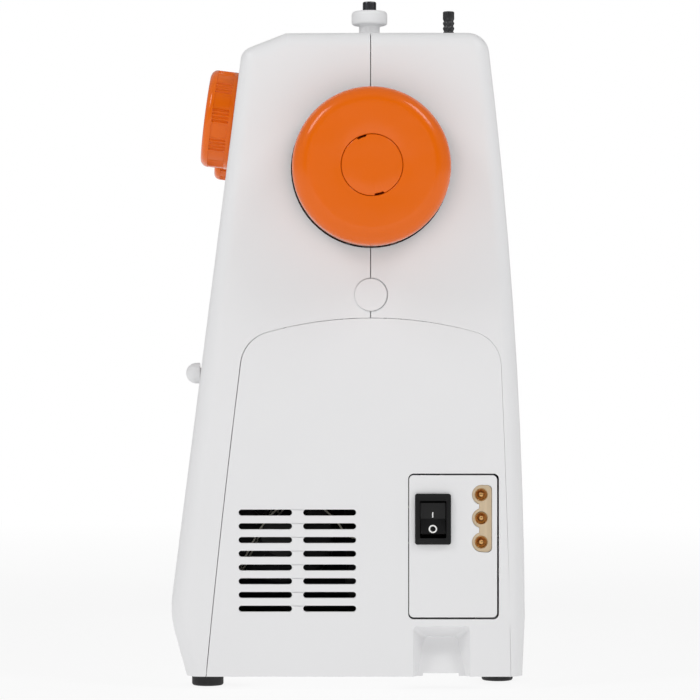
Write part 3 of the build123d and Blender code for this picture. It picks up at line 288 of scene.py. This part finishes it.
def lathe(name, profile, place, look, body, segments=160, radial=None, smooth_deg=35):
    """Turn an outline of (radius, height) points, in metres, about the Z of a placing matrix."""
    verts, faces, rings = [], [], []
    for r, h in profile:
        if r < 1e-7:
            rings.append([len(verts)])
            verts.append(place @ Vector((0, 0, h)))
            continue
        ring = []
        for step in range(segments):
            a = 2 * math.pi * step / segments
            rr = r + (radial(a, r, h) if radial else 0.0)
            ring.append(len(verts))
            verts.append(place @ Vector((rr * math.cos(a), rr * math.sin(a), h)))
        rings.append(ring)
    for low, high in zip(rings, rings[1:]):
        for step in range(segments):
            nxt = (step + 1) % segments
            if len(low) == 1 and len(high) == 1:
                continue
            if len(low) == 1:
                faces.append((low[0], high[nxt], high[step]))
            elif len(high) == 1:
                faces.append((low[step], low[nxt], high[0]))
            else:
                faces.append((low[step], low[nxt], high[nxt], high[step]))
    return add_mesh(name, verts, faces, look, body, smooth_deg)


# ---- stage, camera and lights ----
VIEW_DISTANCE = 1.200      # from the flat end face to the camera
END_FACE_X = 0.168
CAMERA_Y = -0.0201
CAMERA_Z = 0.1411
LENS_MM = 148.7
SHIFT_X = 0.0714
SKY = 0.42                 # strength of the even surroundings
UNLIT = 0.02               # strength of the surroundings beyond the camera
SIDE_SIZE = (0.30, 0.56)   # width and height of the two side softboxes
FILL_SIZE = (1.8, 1.8)
FLOOR_RADIUS = 14.0
FLOOR_FADE = (0.25, 1.0)   # distances between which the floor turns into white surroundings
FLOOR_GLOW = 0.86          # share of the floor that glows by itself right under the object
WHEEL_SPOT = (0.19, 0.0, 0.21)


def make_camera():
    data = bpy.data.cameras.new("camera")
    data.lens = LENS_MM
    data.sensor_width = 36.0
    data.shift_x = SHIFT_X
    cam = bpy.data.objects.new("camera", data)
    cam.location = (END_FACE_X + VIEW_DISTANCE, CAMERA_Y, CAMERA_Z)
    cam.rotation_euler = (math.radians(90), 0, math.radians(90))
    bpy.context.scene.collection.objects.link(cam)
    bpy.context.scene.camera = cam


def area_light(name, place, target, size, power):
    data = bpy.data.lights.new(name, "AREA")
    data.shape = "RECTANGLE"
    data.size, data.size_y = size
    data.energy = power
    lamp = bpy.data.objects.new(name, data)
    lamp.location = place
    lamp.rotation_euler = (Vector(target) - Vector(place)).to_track_quat("-Z", "Y").to_euler()
    bpy.context.scene.collection.objects.link(lamp)
    return lamp


def make_world():
    """White surroundings with the studio's unlit end towards +X. The camera sees plain white."""
    world = bpy.data.worlds.new("studio")
    bpy.context.scene.world = world
    world.use_nodes = True
    tree = world.node_tree
    sky = tree.nodes["Background"]
    sky.inputs["Color"].default_value = (1.0, 1.0, 1.0, 1.0)
    place = tree.nodes.new("ShaderNodeTexCoord")
    split = tree.nodes.new("ShaderNodeSeparateXYZ")
    tree.links.new(place.outputs["Generated"], split.inputs["Vector"])
    fade = tree.nodes.new("ShaderNodeMapRange")
    fade.interpolation_type = "SMOOTHSTEP"
    for name, value in (("From Min", 0.45), ("From Max", 0.9), ("To Min", SKY), ("To Max", UNLIT)):
        fade.inputs[name].default_value = value
    tree.links.new(split.outputs["X"], fade.inputs["Value"])
    tree.links.new(fade.outputs["Result"], sky.inputs["Strength"])
    seen = tree.nodes.new("ShaderNodeBackground")
    seen.inputs["Color"].default_value = (1.0, 1.0, 1.0, 1.0)
    path = tree.nodes.new("ShaderNodeLightPath")
    both = tree.nodes.new("ShaderNodeMixShader")
    tree.links.new(path.outputs["Is Camera Ray"], both.inputs["Fac"])
    tree.links.new(sky.outputs["Background"], both.inputs[1])
    tree.links.new(seen.outputs["Background"], both.inputs[2])
    tree.links.new(both.outputs["Shader"], tree.nodes["World Output"].inputs["Surface"])


def make_floor():
    """A large pale disc that fades to the white of the surroundings with distance from the object."""
    mesh = bpy.data.meshes.new("floor")
    work = bmesh.new()
    bmesh.ops.create_circle(work, cap_ends=True, segments=128, radius=FLOOR_RADIUS)
    work.to_mesh(mesh)
    work.free()
    floor = bpy.data.objects.new("floor", mesh)
    bpy.context.scene.collection.objects.link(floor)
    s = Surface("studio_floor")
    length = s.node("VectorMath")
    length.operation = "LENGTH"
    s.tree.links.new(s.place, length.inputs[0])
    fade = s.ramp(length.outputs["Value"], *FLOOR_FADE, FLOOR_GLOW, 1.0)
    s.set(Base_Color=(0.93, 0.93, 0.93, 1.0), Roughness=0.9, Specular_IOR_Level=0.1)
    glow = s.tree.nodes.new("ShaderNodeEmission")
    glow.inputs["Strength"].default_value = 1.0
    both = s.tree.nodes.new("ShaderNodeMixShader")
    s.tree.links.new(fade, both.inputs["Fac"])
    s.tree.links.new(s.shader.outputs["BSDF"], both.inputs[1])
    s.tree.links.new(glow.outputs["Emission"], both.inputs[2])
    s.tree.links.new(both.outputs["Shader"], s.tree.nodes["Material Output"].inputs["Surface"])
    dress(floor, s.material)


def make_studio():
    make_camera()
    make_world()
    make_floor()
    area_light("softbox_left", (0.75, -0.92, 1.12), WHEEL_SPOT, SIDE_SIZE, 4.5)
    area_light("softbox_right", (0.75, 0.86, 1.17), WHEEL_SPOT, SIDE_SIZE, 4.2)
    fill = area_light("front_fill", (2.6, -0.12, 0.50), (0.1, 0, 0.12), FILL_SIZE, 20.6)
    fill.visible_glossy = False
    bpy.context.scene.view_settings.view_transform = "Standard"
    bpy.context.scene.view_settings.look = "None"


# ---- handwheel and dials ----
SKIRT_DEPTH = 9.0 * MM     # stepped part behind the wheel's rim
SKIRT_STEP = 1.2 * MM      # how much smaller the skirt's radius is than the rim's
# painted shade: deep brown painted on the wheel's skirt, standing in for the shadow next to the body
SKIRT_PAINTED_SHADE = rgb(62, 30, 12)
SKIRT_FADE = 1.6 * MM      # length over which the painted shade on the skirt gives way to the rim's orange
RIM_EDGE = 7.4 * MM        # rounding of the rim's front
WHEEL_BORE = 12.72 * MM    # radius of the recess that holds the clutch knob
KNOB_R = 12.5 * MM
KNOB_NOTCHES = (110, 284)  # places of the knob's two grip notches, in degrees


def wheel_look_with_painted_shade(back):
    """The dials' orange, with painted shade in deep brown on the skirt at the back of the wheel."""
    look = LOOKS["dial_orange"].copy()
    look.name = "handwheel_plastic_painted_shade"
    tree = look.node_tree
    shader = tree.nodes["Principled BSDF"]
    place = tree.nodes.new("ShaderNodeTexCoord")
    split = tree.nodes.new("ShaderNodeSeparateXYZ")
    tree.links.new(place.outputs["Object"], split.inputs["Vector"])
    depth = tree.nodes.new("ShaderNodeMapRange")
    start = back + SKIRT_DEPTH
    limits = {"From Min": start, "From Max": start + SKIRT_FADE, "To Min": 1.0, "To Max": 0.0}
    for name, value in limits.items():
        depth.inputs[name].default_value = value
    tree.links.new(split.outputs["X"], depth.inputs["Value"])
    shade = tree.nodes.new("ShaderNodeMix")
    shade.data_type = "RGBA"
    colour_in = [socket for socket in shade.inputs if socket.type == "RGBA"]
    colour_out = [socket for socket in shade.outputs if socket.type == "RGBA"][0]
    tree.links.new(depth.outputs["Result"], shade.inputs["Factor"])
    tree.links.new(shader.inputs["Base Color"].links[0].from_socket, colour_in[0])
    # painted shade: the skirt's deep brown stands in for the shadow behind the rim
    colour_in[1].default_value = SKIRT_PAINTED_SHADE
    tree.links.new(colour_out, shader.inputs["Base Color"])
    return look


def make_handwheel():
    low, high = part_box("handwheel")
    hub = pivot("handwheel_turn")
    back, front = low.x, high.x
    r = (high.z - low.z) / 2
    edge, bore = RIM_EDGE, WHEEL_BORE
    skirt = r - SKIRT_STEP
    outline = [(5.0 * MM, back), (11.0 * MM, back), (11.0 * MM, back + 13 * MM), (29 * MM, back + 13 * MM)]
    outline += [(29 * MM, back + 3.0 * MM), (skirt - 0.4 * MM, back + 3.0 * MM), (skirt, back + 3.4 * MM)]
    outline += [(skirt, back + SKIRT_DEPTH - 0.1 * MM)]
    outline += arc(r - 0.9 * MM, back + SKIRT_DEPTH + 0.9 * MM, 0.9 * MM, -90, 0, 5)
    outline += arc(r - edge, front - edge, edge, 0, 90, 16)
    outline += [(20 * MM, front)]
    outline += arc(bore + 0.35 * MM, front - 0.35 * MM, 0.35 * MM, 90, 180, 4)
    outline += [(bore, front - 0.9 * MM), (bore - 0.12 * MM, front - 1.0 * MM)]
    outline += [(bore - 0.12 * MM, front - 11 * MM), (5.0 * MM, front - 11 * MM), (5.0 * MM, back)]
    place = axis_frame((0, hub.y, hub.z), (1, 0, 0), (0, 1, 0))
    wheel = lathe("wheel_rim", outline, place, wheel_look_with_painted_shade(back), "shaft", 192)
    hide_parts("handwheel")


def make_clutch_knob():
    low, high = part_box("clutch_knob")
    hub = pivot("handwheel_turn")
    r, top = KNOB_R, high.x - 0.02 * MM
    outline = [(5.05 * MM, low.x), (r, low.x), (r, top - 0.4 * MM)]
    outline += arc(r - 0.4 * MM, top - 0.4 * MM, 0.4 * MM, 0, 90, 4)
    outline += [(6 * MM, top), (0, top)]

    def radial(angle, radius, height):
        if radius < r - 0.5 * MM or height < top - 4 * MM:
            return 0.0
        for notch_deg in KNOB_NOTCHES:
            gap = (math.degrees(angle) - notch_deg + 180) % 360 - 180
            if abs(gap) < 9:
                return -0.75 * MM
        return 0.0
    place = axis_frame((0, hub.y, hub.z), (1, 0, 0), (0, 1, 0))
    knob = lathe("knob_face", outline, place, LOOKS["dial_orange"], "clutch", 240, radial)
    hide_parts("clutch_knob")


def grip_limits(height, edge):
    """Lowest and highest point of the grip on a dial's side wall."""
    return 2.2 * MM, height - edge - 0.3 * MM


def dial_outline(r, height, edge, foot):
    """Side of a dial, with close pairs of rows where the grip begins and ends."""
    low, high = grip_limits(height, edge)
    step = 0.12 * MM
    outline = [(0, 0), (foot, 0), (r - 0.5 * MM, 0)]
    outline += arc(r - 0.5 * MM, 0.5 * MM, 0.5 * MM, -60, 0, 3)
    outline += [(r, low - step), (r, low), (r, high), (r, high + step)]
    outline += arc(r - edge, height - edge, edge, 0, 90, 12)
    return outline + [(r * 0.55, height + 0.05 * MM), (0, height + 0.1 * MM)]


def grip_pattern(r, height, edge, groups, lines, pitch_deg, depth):
    """Radial offset of grip lines between shallow recessed pads, on the side wall only."""
    low, high = grip_limits(height, edge)

    def radial(angle, radius, z):
        if radius < r - 1e-5 or z < low - 1e-7 or z > high + 1e-7:
            return 0.0
        span = 360 / groups
        local = (math.degrees(angle) + span / 2) % span - span / 2
        reach = (lines - 0.5) * pitch_deg / 2
        if abs(local) < reach:
            wave = math.cos(2 * math.pi * local / pitch_deg + math.pi * (lines % 2 == 0))
            return -depth * (0.5 + 0.5 * wave)
        pad = (span / 2 - abs(local)) < (span / 2 - reach - 1.5)
        return -depth * 0.4 if pad else 0.0
    return radial


GRIP_DEPTH = 0.7 * MM


def make_dial(node, joint, name, body, r, height, edge, groups, lines, pitch_deg):
    """A dial with a gripped side wall and a raised pointer, turning with its joint."""
    axis = axis_of(joint)
    place = axis_frame(pivot(joint) + axis * 0.8 * MM, axis, (1, 0, 0))
    pattern = grip_pattern(r, height, edge, groups, lines, pitch_deg, GRIP_DEPTH)
    outline = dial_outline(r, height, edge, 4 * MM)
    dial = lathe(name, outline, place, LOOKS["dial_orange"], body, 720, pattern, 60)
    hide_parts(node)
    pointer = [(-0.5, 0.30), (0.5, 0.30), (0.5, 0.86), (-0.5, 0.86)]
    top = height + 0.12 * MM
    verts = [place @ Vector((x * 1.4 * MM, y * r, top + lift)) for lift in (0, 0.25 * MM) for x, y in pointer]
    faces = [(3, 2, 1, 0), (4, 5, 6, 7)] + [(i, (i + 1) % 4, 4 + (i + 1) % 4, 4 + i) for i in range(4)]
    add_mesh(name + "_pointer", verts, faces, MARK_WHITE, body)


def make_scale(joint, name, dial_r, count, first_deg, last_deg):
    """Printed ticks and numbers on the front cover around a dial, clockwise from first_deg off the top."""
    axis = axis_of(joint)
    place = axis_frame(pivot(joint), axis, (1, 0, 0))
    lift = 0.06 * MM
    for number in range(count):
        turn = math.radians(first_deg + (last_deg - first_deg) * number / (count - 1))
        out = Vector((math.sin(turn), math.cos(turn), 0))
        side = Vector((out.y, -out.x, 0))
        ends = ((1.6, -0.25), (1.6, 0.25), (3.2, 0.25), (3.2, -0.25))
        corners = [out * (dial_r + r * MM) + side * w * MM for r, w in ends]
        verts = [place @ (corner + Vector((0, 0, z))) for z in (0.0, lift) for corner in corners]
        faces = [(3, 2, 1, 0), (4, 5, 6, 7)] + [(i, (i + 1) % 4, 4 + (i + 1) % 4, 4 + i) for i in range(4)]
        add_mesh(f"{name}_tick_{number + 1}", verts, faces, MARK_GREY, "machine")
        text = bpy.data.curves.new(f"{name}_text_{number + 1}", "FONT")
        text.body = str(number + 1)
        text.size, text.extrude = 4.2 * MM, lift / 2
        text.align_x, text.align_y = "CENTER", "CENTER"
        text.resolution_u = 3
        sign = bpy.data.objects.new(text.name, text)
        bpy.context.scene.collection.objects.link(sign)
        bpy.context.view_layer.update()
        shape = bpy.data.meshes.new_from_object(sign.evaluated_get(bpy.context.evaluated_depsgraph_get()))
        bpy.data.objects.remove(sign)
        shape.transform(place @ Matrix.Translation(out * (dial_r + 6.2 * MM) + Vector((0, 0, lift / 2))))
        digit = bpy.data.objects.new(f"{name}_number_{number + 1}", shape)
        bpy.context.scene.collection.objects.link(digit)
        dress(digit, MARK_GREY)
        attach(digit, "machine")


# ---- bobbin winder and spool pin ----
def splines(count, depth, low, high):
    """Radial offset that cuts upright grooves between two heights."""
    def radial(angle, radius, z):
        if z < low or z > high:
            return 0.0
        wave = 0.5 + 0.5 * math.cos(count * angle)
        return -depth * max(0.0, 1.6 * wave - 0.6) ** 0.7
    return radial


def make_winder():
    low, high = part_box("winder_spindle")
    seat_low, seat_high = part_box("winder_seat")
    hub = centre("winder_spindle")
    stem, tip = 2.0 * MM, 2.93 * MM
    shoulder = seat_high.z - low.z
    top = high.z - low.z
    outline = [(0, 0), (stem, 0), (stem, shoulder), (tip, shoulder)]
    outline += [(tip, shoulder + (top - shoulder - 0.6 * MM) * i / 6) for i in range(1, 7)]
    outline += arc(tip - 0.6 * MM, top - 0.6 * MM, 0.6 * MM, 20, 90, 5) + [(0, top)]
    grooves = splines(8, 0.55 * MM, shoulder + 0.1 * MM, top - 0.05 * MM)
    place = axis_frame((hub.x, hub.y, low.z), (0, 0, 1))
    spindle = lathe("winder_splined_tip", outline, place, LOOKS["dark_steel"], "winder",
                    128, grooves)
    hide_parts("winder_spindle")

    r, neck, edge = 7.52 * MM, 4.3 * MM, 1.5 * MM
    under = seat_high.z - seat_low.z - 5.9 * MM
    crown = seat_high.z - seat_low.z - 0.02 * MM
    bore = stem + 0.02 * MM
    outline = [(bore, 0.0), (neck, 0.0), (neck, under - 0.7 * MM), (neck + 0.7 * MM, under)]
    outline += arc(r - 1.2 * MM, under + 1.2 * MM, 1.2 * MM, -90, 0, 7)
    outline += arc(r - edge, crown - edge, edge, 0, 90, 9)
    outline += [(tip + 0.9 * MM, crown), (tip + 0.7 * MM, crown - 0.3 * MM), (bore, crown - 0.3 * MM)]
    outline += [(bore, 0.0)]
    place = axis_frame((hub.x, hub.y, seat_low.z), (0, 0, 1))
    seat = lathe("winder_seat_cup", outline, place, LOOKS["body_white"], "winder", 128)
    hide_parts("winder_seat")


PIN_HEAD = 12.8 * MM       # length of the spool pin's thicker head


def make_spool_pin():
    """Pin whose head is splined above and beaded below."""
    low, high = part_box("spool_pin")
    hub = centre("spool_pin")
    r = (high.x - low.x) / 2
    top = high.z - low.z
    foot = top - PIN_HEAD
    beads, splined = 4, 4.0 * MM
    pitch = (PIN_HEAD - splined) / beads
    outline = [(0, 0), (1.9 * MM, 0), (1.9 * MM, foot)]
    for bead in range(beads):
        start = foot + bead * pitch
        outline += [(r * (0.80 + 0.20 * math.sin(math.pi * (i + 0.5) / 8)), start + pitch * (i + 0.5) / 8)
                    for i in range(8)]
    outline += [(r, top - splined + (splined - 0.5 * MM) * i / 5) for i in range(1, 6)]
    outline += arc(r - 0.5 * MM, top - 0.5 * MM, 0.5 * MM, 20, 90, 4) + [(0, top)]
    grooves = splines(6, 0.5 * MM, foot + 0.2 * MM, top - 0.1 * MM)
    place = axis_frame((hub.x, hub.y, low.z), (0, 0, 1))
    pin = lathe("spool_pin_ribbed", outline, place, LOOKS["pin_black"], "spool",
                120, grooves, 40)
    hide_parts("spool_pin")


# ---- mains inlet ----
LEAD_R = 0.4 * MM


def make_pin_sleeves():
    """Brass sleeve round each pin of the inlet."""
    low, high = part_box("socket_pins")
    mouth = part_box("socket_insert")[1].x
    y = (low.y + high.y) / 2
    r = (high.y - low.y) / 2
    spacing = (high.z - low.z - 2 * r) / 2
    for index in range(3):
        place = axis_frame((0, y, low.z + r + spacing * index), (1, 0, 0), (0, 1, 0))
        bottom = mouth - 3.2 * MM
        sleeve = [(r + 0.15 * MM, bottom), (2.66 * MM, bottom), (2.66 * MM, mouth - 0.5 * MM)]
        sleeve += arc(2.45 * MM, mouth - 0.5 * MM, 0.21 * MM, 0, 180, 6)
        sleeve += [(2.1 * MM, bottom + 0.9 * MM), (r + 0.15 * MM, bottom + 0.6 * MM), (r + 0.15 * MM, bottom)]
        lathe(f"pin_sleeve_{index + 1}", sleeve, place, LOOKS["brass"], "machine", 64)


def smooth_path(points, per_span=10):
    """Points of a Catmull-Rom curve through the given ones."""
    ends = [points[0]] + points + [points[-1]]
    path = []
    for a, b, c, d in zip(ends, ends[1:], ends[2:], ends[3:]):
        for step in range(per_span):
            t = step / per_span
            path.append(0.5 * (2 * b + (c - a) * t + (2 * a - 5 * b + 4 * c - d) * t * t
                               + (3 * b - a - 3 * c + d) * t ** 3))
    return path + [points[-1]]


def make_lead(name, points_mm, r, look):
    """Insulated wire inside the casing, fixed at both ends."""
    path = smooth_path([Vector(p) * MM for p in points_mm])
    sides = 10
    verts, faces = [], []
    across = Vector((1, 0, 0))
    for i, point in enumerate(path):
        along = (path[min(i + 1, len(path) - 1)] - path[max(i - 1, 0)]).normalized()
        across = (across - along * across.dot(along)).normalized()
        other = along.cross(across)
        for side in range(sides):
            a = 2 * math.pi * side / sides
            verts.append(point + (across * math.cos(a) + other * math.sin(a)) * r)
    for i in range(len(path) - 1):
        for side in range(sides):
            nxt = (side + 1) % sides
            faces.append((i * sides + side, i * sides + nxt, (i + 1) * sides + nxt, (i + 1) * sides + side))
    faces += [tuple(range(sides))[::-1], tuple((len(path) - 1) * sides + side for side in range(sides))]
    add_mesh(name, verts, faces, look, "machine")


def make_leads():
    """Wires from the inlet and the switch down to the motor, seen faintly through the vents."""
    motor_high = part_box("motor")[1]
    end = (motor_high.x / MM + 1, centre("motor").y / MM, motor_high.z / MM - 4)
    end_beside = (end[0], end[1] + 4, end[2])
    live = [(151, 34, 64), (147, 16, 84), (146, -8, 86), (148, -28, 75), (149, -36, 67)]
    live += [(147, -44, 52), (130, -44, 48), end]
    neutral = [(150, 36, 58), (148, 24, 60), (148, 2, 62), (149, -4, 68), (149, -10, 74)]
    neutral += [(146, -20, 80), (130, -30, 70), end_beside]
    for name, points in (("motor_lead_live", live), ("motor_lead_neutral", neutral)):
        make_lead(name, points, LEAD_R, LOOKS["lead_sleeve"])


# ---- rocker switch marks ----
ROCKER_REST_DEG = -9.0     # the rocker's tilt at rest, switched off
ROCKER_REACH = 6.4 * MM    # from the pivot to the far end of each face
FACE_LOW = 1.9             # height of the faces over the pivot, in mm, where they meet
FACE_HIGH = 3.3            # and at their far ends
MARK_LIFT = 0.12           # mm
RING_PLACE = -4.4          # mm below the pivot


def make_rocker_marks():
    """A bar and a ring, raised a little from the two faces of the rocker."""
    spot = pivot("rocker_tilt")
    tilt = math.radians(ROCKER_REST_DEG)

    def on_face(along, out, side):
        """Point on the rocker's face: along it in Z, proud by out, in the rest pose."""
        v = FACE_LOW * MM + (FACE_HIGH - FACE_LOW) * MM * abs(along) / ROCKER_REACH
        x, z = v + out, along
        return Vector((spot.x + x * math.cos(tilt) + z * math.sin(tilt), spot.y + side,
                       spot.z - x * math.sin(tilt) + z * math.cos(tilt)))
    bar = [(side, along) for side in (-0.22, 0.22) for along in (0.4, 2.6)]
    verts = [on_face(a * MM, out, s * MM) for out in (0.0, MARK_LIFT * MM) for s, a in bar]
    faces = [(0, 1, 3, 2), (4, 6, 7, 5), (0, 4, 5, 1), (2, 3, 7, 6), (0, 2, 6, 4), (1, 5, 7, 3)]
    add_mesh("on_mark", verts, faces, MARK_WHITE, "rocker")
    verts, faces, steps = [], [], 48
    for step in range(steps):
        a = 2 * math.pi * step / steps
        for r, out in ((1.15, 0.0), (1.15, MARK_LIFT), (1.75, MARK_LIFT), (1.75, 0.0)):
            verts.append(on_face((RING_PLACE + r * math.sin(a)) * MM, out * MM, r * math.cos(a) * MM))
    for step in range(steps):
        a, b = step * 4, (step + 1) % steps * 4
        faces += [(a + i, b + i, b + (i + 1) % 4, a + (i + 1) % 4) for i in range(4)]
    add_mesh("off_mark", verts, faces, MARK_WHITE, "rocker")


SELECTOR_R = 21.0 * MM
LENGTH_R = 14.0 * MM

dress_cad_nodes()
make_studio()
make_handwheel()
make_clutch_knob()
make_dial("stitch_selector_dial", "selector_turn", "selector_grip", "selector",
          SELECTOR_R, height=12.3 * MM, edge=3.0 * MM, groups=10, lines=4, pitch_deg=4.4)
make_dial("stitch_length_dial", "length_turn", "length_grip", "length",
          LENGTH_R, height=7.6 * MM, edge=2.6 * MM, groups=9, lines=3, pitch_deg=6.5)
make_scale("selector_turn", "selector_scale", SELECTOR_R, 12, 0.0, 330.0)
make_scale("length_turn", "length_scale", LENGTH_R, 5, -100.0, 100.0)
make_winder()
make_spool_pin()
make_pin_sleeves()
make_leads()
make_rocker_marks()
